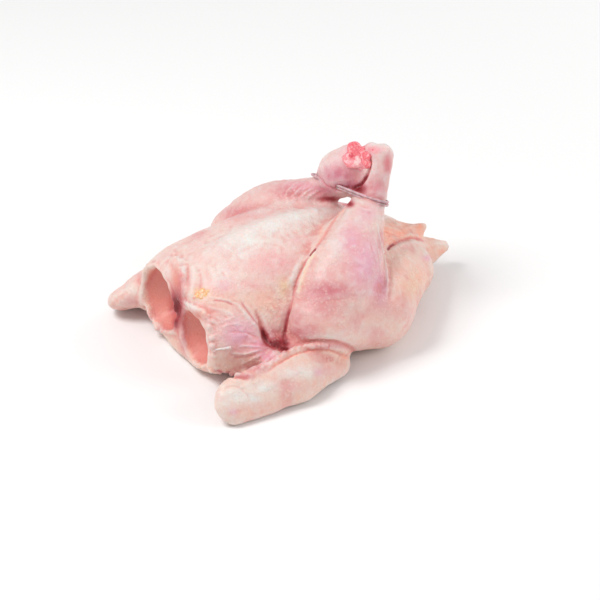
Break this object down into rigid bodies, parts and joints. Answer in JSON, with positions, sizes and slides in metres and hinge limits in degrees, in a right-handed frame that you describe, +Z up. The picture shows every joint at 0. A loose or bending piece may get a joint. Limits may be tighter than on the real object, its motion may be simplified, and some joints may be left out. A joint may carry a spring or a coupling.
{
  "type": "whole raw chicken",
  "caption": "Whole raw chicken on its back, breast up, legs crossed and tied at the ankles, wings folded at the sides, neck end cut open.",
  "frame": {"origin": "on the flat of the back, where the bird rests, below the middle of the body", "axes": "+X from the neck to the tail, +Y to the bird's left, +Z up through the breast"},
  "size_m": [0.2541, 0.2016, 0.1351],
  "materials": {
    "skin": "moist, pale pink raw poultry skin",
    "elastic": "thin translucent grey elastic loop"
  },
  "bodies": {
    "root": {"chicken": "skin", "leg_tie": "elastic"}
  },
  "joints": []
}
